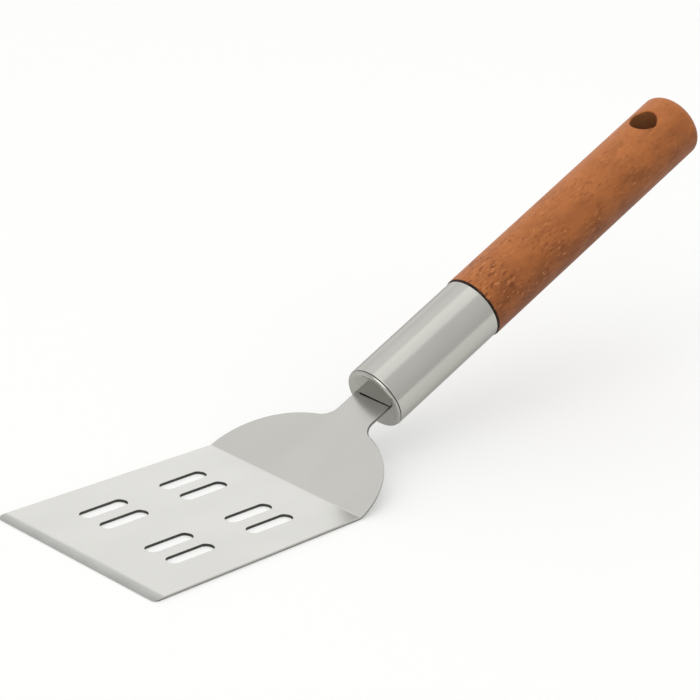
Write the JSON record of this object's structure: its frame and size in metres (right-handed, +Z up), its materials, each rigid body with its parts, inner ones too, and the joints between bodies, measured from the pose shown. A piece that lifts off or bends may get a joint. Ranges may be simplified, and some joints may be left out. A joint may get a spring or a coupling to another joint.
{
  "type": "slotted turner spatula",
  "caption": "Slotted stainless turner: folded flat blade with a rounded shoulder and neck, steel ferrule, turned wooden handle with a hanging hole.",
  "frame": {"origin": "middle of the flat blade's underside", "axes": "+X along the tool from the blade's front edge towards the handle, +Y across the blade, +Z up from the blade's underside"},
  "size_m": [0.306, 0.079, 0.1053],
  "materials": {
    "blade_steel": "fine satin stainless sheet, ground front edge",
    "cap_steel": "polished stainless cap",
    "ferrule_steel": "satin stainless tube",
    "handle_wood": "oiled reddish-brown hardwood with short dark pores",
    "adhesive": "cured amber epoxy, hidden"
  },
  "bodies": {
    "root": {"blade": "blade_steel", "ferrule_cap": "cap_steel", "ferrule_tube": "ferrule_steel", "wood_handle": "handle_wood", "tang_adhesive": "adhesive"}
  },
  "joints": []
}
